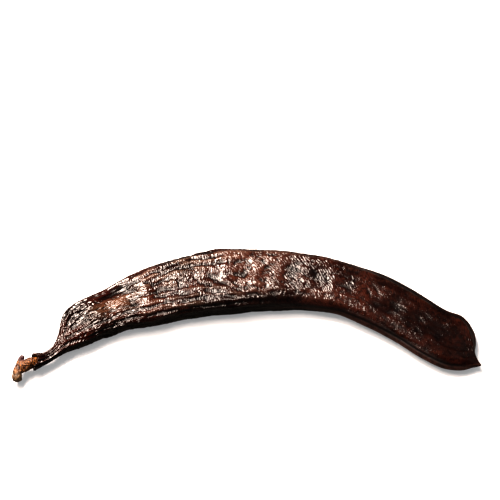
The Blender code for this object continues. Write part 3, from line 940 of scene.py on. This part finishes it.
# Less of the lighter ground down the walls and underside: painted shade
ground = add(tree, "ShaderNodeMix", COLOURS, {0: mark["warm"], 6: dark, 7: light}, 2)
ground = layered(
    tree,
    ground,
    [
        (mark["copper"], 0.65, "#70503c"),  # thin coppery skin at the shoulder
        (bloom_and_painted_highlight, 0.24, "#947c6c"),  # grey-pink bloom on the ridges, partly a painted highlight
        (mark["edge"], 0.8, "#0d0504"),  # painted shade down the walls
        (mark["dark_red"], 0.9, "#2c0b05"),  # the smooth hollow beside the copper: dark red skin, partly painted shade
        (mark["black"], 0.85, "#080506"),  # black spots between the seeds
        (sunk, 0.85, "#050303"),  # dirt and painted shade in the creases
        (deep, 0.6, "#0a0605"),  # and painted shade in the hollows
        (mark["painted_wall_shade"], 0.92, "#060303"),  # painted shade down the inner wall
        (mark["seam"], 0.6, "#5c4138"),  # painted highlights on the seams' crests
    ],
)
print("skin colours mixed so far:", sum(node.type == "MIX" for node in tree.nodes))

# %% [markdown]
# ## The finest lines
#
# Close up, the waxed skin is hatched with short lines that follow the wrinkles: lengthwise near the neck,
# crosswise over the seeds, slanting past the middle, and a plain leathery grain near the beak. They are
# shallower than a tenth of a millimetre, so they are a bump, not shape. Real ones are finer still, and
# these are about a millimetre apart, which is as fine as the picture can show.

# %% Hatch the skin
LINE_DEPTH, GRIT_DEPTH = 0.07, 0.06  # in mm
LENGTHWISE, CROSSWISE, SLANTING = (2.0, 0.95), (80.0, 0.85), (-46.0, 0.85)  # heading in degrees, pitch in mm

wander = add(tree, "ShaderNodeMath", {**TIMES, 1: 0.3}, {0: speckle(tree, 14.0)})
bent = add(tree, "ShaderNodeMath", PLUS, {0: mark["share"], 1: wander})  # share along, with a ragged border
strokes = hatch(tree, *LENGTHWISE)
for start, full, lines in ((0.38, 0.46, CROSSWISE), (0.56, 0.66, SLANTING)):
    past = add(tree, "ShaderNodeMapRange", {**EASED, 1: start, 2: full}, {0: bent})
    strokes = add(tree, "ShaderNodeMix", {}, {0: past, 2: strokes, 3: hatch(tree, *lines)})
trough = add(tree, "ShaderNodeMapRange", {**EASED, 1: 0.1, 2: -0.8}, {0: strokes})
breaks = add(tree, "ShaderNodeMapRange", {**EASED, 1: 0.36, 2: 0.6, 3: 0.1}, {0: speckle(tree, 1.5)})
strokes = add(tree, "ShaderNodeMath", TIMES, {0: strokes, 1: breaks})  # lines broken into short strokes
leather = add(tree, "ShaderNodeMath", {**TIMES, 1: 0.8}, {0: streaks(tree, (0.6, 0.6, 0.6))})
to_beak = add(tree, "ShaderNodeMapRange", {**EASED, 1: 0.56, 2: 0.72}, {0: mark["share"]})
strokes = add(tree, "ShaderNodeMix", {}, {0: to_beak, 2: strokes, 3: leather})

grains = add(tree, "ShaderNodeMapRange", {**EASED, 1: 0.5, 2: 0.62}, {0: speckle(tree, 0.8, 1.0)})
past_middle = add(tree, "ShaderNodeMapRange", {**EASED, 1: 0.5, 2: 0.7}, {0: mark["share"]})
grainy = add(tree, "ShaderNodeMath", TIMES, {0: grains, 1: past_middle})
# The dark leathery grain nearer the beak, and the shade between the finest lines
ground = layered(tree, ground, [(grainy, 0.55, "#080303"), (trough, 0.35, "#060202")])
tree.links.new(ground, shader.inputs["Base Color"])

for share, fade in (
    (mark["dark_red"], {1: 0.1, 2: 0.6, 3: 1.0, 4: 0.05}),  # hardly a line in the smooth hollow
    (mark["share"], {1: 0.36, 2: 0.5, 3: 1.0, 4: 1.2}),  # and deeper ones past the middle
):
    strength = add(tree, "ShaderNodeMapRange", {**EASED, **fade}, {0: share})
    strokes = add(tree, "ShaderNodeMath", TIMES, {0: strokes, 1: strength})
lined = add(tree, "ShaderNodeBump", {"Strength": 1.0, "Distance": LINE_DEPTH * MM}, {"Height": strokes})
grit = {"Height": speckle(tree, 0.45, 2.0), "Normal": lined}
gritty = add(tree, "ShaderNodeBump", {"Strength": 0.35, "Distance": GRIT_DEPTH * MM}, grit)
tree.links.new(gritty, shader.inputs["Normal"])
print("lines", LENGTHWISE[1], "mm apart and", LINE_DEPTH, "mm deep")

# %% [markdown]
# ## The gloss
#
# Dried wax is glossy, about 0.1 to 0.2 rough, which is what makes each little facet flash. It is duller in
# the creases, where dirt has settled, down the walls and over the middle.

# %% Polish the skin
GLOSSIEST, GLOSSY, HOLLOW_GLOSS = 0.1, 0.16, 0.14
MIDDLE_DULL, CREASE_DULL, WALL_DULL = 0.2, 0.32, 0.4

gloss = {**EASED, 1: 0.35, 2: 0.7, 3: GLOSSIEST, 4: GLOSSY}
worn = add(tree, "ShaderNodeMapRange", gloss, {0: speckle(tree, 3.0)})
middle_on = add(tree, "ShaderNodeMapRange", {**EASED, 1: 0.36, 2: 0.5}, {0: mark["share"]})
on_rims = add(tree, "ShaderNodeMapRange", {**EASED, 1: 0.1, 2: 0.4}, {0: mark["edge"]})
past_bend = add(tree, "ShaderNodeMapRange", {**EASED, 1: 0.4, 2: 0.6}, {0: mark["share"]})
wall = add(tree, "ShaderNodeMath", TIMES, {0: on_rims, 1: past_bend})
wear = ((middle_on, MIDDLE_DULL), (sunk, CREASE_DULL), (wall, WALL_DULL), (mark["dark_red"], HOLLOW_GLOSS))
for where, roughness in wear:
    worn = add(tree, "ShaderNodeMix", {3: roughness}, {0: where, 2: worn})
tree.links.new(worn, shader.inputs["Roughness"])
pod.data.materials.append(skin_finish)
print("roughness from", GLOSSIEST, "to", WALL_DULL)

# %% [markdown]
# ## The wood
#
# Torn wood fibre is orange-brown where it is fresh, dark between the fibres, grey-tan at the old broken end
# and purple-brown at the little spur. It has no wax, so it is about 0.5 rough.

# %% Colour the wood
WOOD_ROUGHNESS = 0.5
wood_finish, tree, shader = finish("broken_stalk_fibre")
mark = {label: add(tree, "ShaderNodeAttribute", {"attribute_name": label}, out="Fac") for label in wood_marks}
fibre = add(tree, "ShaderNodeMapRange", {**EASED, 1: -0.35, 2: 0.6}, {0: mark["grain"]})
bark = add(tree, "ShaderNodeMix", {**COLOURS, 6: colour("#2c1108"), 7: colour("#95602a")}, {0: fibre}, 2)
bark = layered(
    tree,
    bark,
    [
        (mark["tip"], 0.8, "#62513b"),  # weathered at the broken end
        (mark["spur"], 0.9, "#3c2429"),
        (mark["dent"], 0.9, "#170805"),  # painted shade and old bark down in the dents
    ],
)
tree.links.new(bark, shader.inputs["Base Color"])
shader.inputs["Roughness"].default_value = WOOD_ROUGHNESS
stalk.data.materials.append(wood_finish)
print("wood of", len(wood_marks), "marks")

# %% [markdown]
# ## Fit the pieces to the part
#
# Each fine piece stands for its plain solid, which is hidden, and stays on the same body.

# %% Replace the plain solids
for piece, node, slot in ((pod, "pod", "pod_skin"), (stalk, "stalk", "stalk_wood")):
    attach(piece, "root")
    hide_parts(node)
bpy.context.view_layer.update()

# %% [markdown]
# ## Table
#
# The pod lies on a plain white sheet. It looks white to the camera, but is darker to the light that it
# would throw back, because a sheet as bright as that would light the pod's walls from below and wash out
# its dark creases.

# %% Lay the table
TABLE_RADIUS, TABLE_SIDES = 0.66, 128  # its edge is lost in the white room
TABLE_GLOW, TABLE_ROUGHNESS = 0.2, 0.9  # the glow shows to the camera only

bpy.ops.mesh.primitive_circle_add(vertices=TABLE_SIDES, radius=TABLE_RADIUS, fill_type="NGON")
floor = bpy.context.object
floor.name = "pale_table"
paper, tree, shader = finish("white_paper")
seen = add(tree, "ShaderNodeLightPath", {}, out="Is Camera Ray")
shown = add(tree, "ShaderNodeMix", {**COLOURS, 6: colour("#5c5b59"), 7: colour("#d0d1d3")}, {0: seen}, 2)
glow = add(tree, "ShaderNodeMath", {**TIMES, 1: TABLE_GLOW}, {0: seen})
tree.links.new(shown, shader.inputs["Base Color"])
tree.links.new(glow, shader.inputs["Emission Strength"])
shader.inputs["Emission Color"].default_value = colour("#ffffff")
shader.inputs["Roughness"].default_value = TABLE_ROUGHNESS
floor.data.materials.append(paper)
print("table", round(2 * TABLE_RADIUS, 2), "m across")

# %% [markdown]
# ## Light
#
# The key light is behind the pod and to its left, so that its reflection slides over the wrinkles towards
# the camera. A small one above the neck adds glints there, and a weak one on the right keeps the beak from
# going black. The room looks white to the camera and is dim to the pod, which leaves the gaps between the
# glints dark.

# %% Hang the lights
WARM_WHITE = "#ffecdf"


def softbox(name, place, size, watts):
    """A square light of that size in metres, facing the pod."""
    light = bpy.data.lights.new(name, "AREA")
    light.color = colour(WARM_WHITE)[:3]
    light.size = size
    light.energy = watts
    lamp = bpy.data.objects.new(name, light)
    lamp.location = place
    lamp.rotation_euler = (-Vector(place)).to_track_quat("-Z", "Y").to_euler()
    bpy.context.scene.collection.objects.link(lamp)


softbox("key_light_behind_left", place=(-0.32, 0.4, 0.76), size=0.38, watts=20.0)
softbox("key_light_above_left", place=(-0.36, 0.02, 0.62), size=0.2, watts=3.2)
softbox("fill_right", place=(0.8, 0.3, 0.9), size=0.8, watts=0.5)
print("lights:", sorted(light.name for light in bpy.data.lights))

# %% [markdown]
# The room is one plain colour. A glossy pod would mirror it in every facet, so reflections see hardly any
# of it, and dull surfaces see a little under a third.

# %% Fill the room
ROOM_COLOUR = "#f2f4f6"
DIFFUSE_LIGHT, ALL_LIGHT = 0.25, 0.04  # how much of the room dull surfaces see, and how much reflections see

room = bpy.data.worlds.new("pale_room")
room.use_nodes = True
tree = room.node_tree
seen = add(tree, "ShaderNodeLightPath", {}, out="Is Camera Ray")
spread = add(tree, "ShaderNodeLightPath", {}, out="Is Diffuse Ray")
soft = add(tree, "ShaderNodeMath", {**TIMES, 1: DIFFUSE_LIGHT}, {0: spread})
total = add(tree, "ShaderNodeMath", PLUS, {0: seen, 1: soft})
total = add(tree, "ShaderNodeMath", {**PLUS, 1: ALL_LIGHT}, {0: total})
background = tree.nodes["Background"]
background.inputs["Color"].default_value = colour(ROOM_COLOUR)
tree.links.new(total, background.inputs["Strength"])
bpy.context.scene.world = room
bpy.context.scene.view_settings.view_transform = "Standard"
bpy.context.scene.view_settings.look = "High Contrast"
print("room: dull surfaces see", DIFFUSE_LIGHT + ALL_LIGHT, "of it and reflections", ALL_LIGHT)

# %% [markdown]
# ## Camera
#
# The picture looks 55 degrees down on the table, from far off with a long lens, so that the pod keeps its
# shape.

# %% Place the camera
LOOK_DOWN = math.radians(55)
LENS, SENSOR = 100.0, 36.0
FRAME_WIDTH = 205.0  # millimetres of the table that the picture is wide, at the pod
LOOK_AT = np.array([1.23, 33.05, 0.0]) - PLAN_CENTRE  # the point of the table in the middle of the picture

back = np.array([0, -math.cos(LOOK_DOWN), math.sin(LOOK_DOWN)])
eye = LOOK_AT + back * FRAME_WIDTH * LENS / SENSOR
lens = bpy.data.cameras.new("camera")
lens.lens = LENS
lens.sensor_width = SENSOR
camera = bpy.data.objects.new("camera", lens)
camera.location = Vector(eye * MM)
camera.rotation_euler = (math.pi / 2 - LOOK_DOWN, 0, 0)
bpy.context.scene.collection.objects.link(camera)
bpy.context.scene.camera = camera
print("camera", round(camera.location.length, 2), "m from the pod")
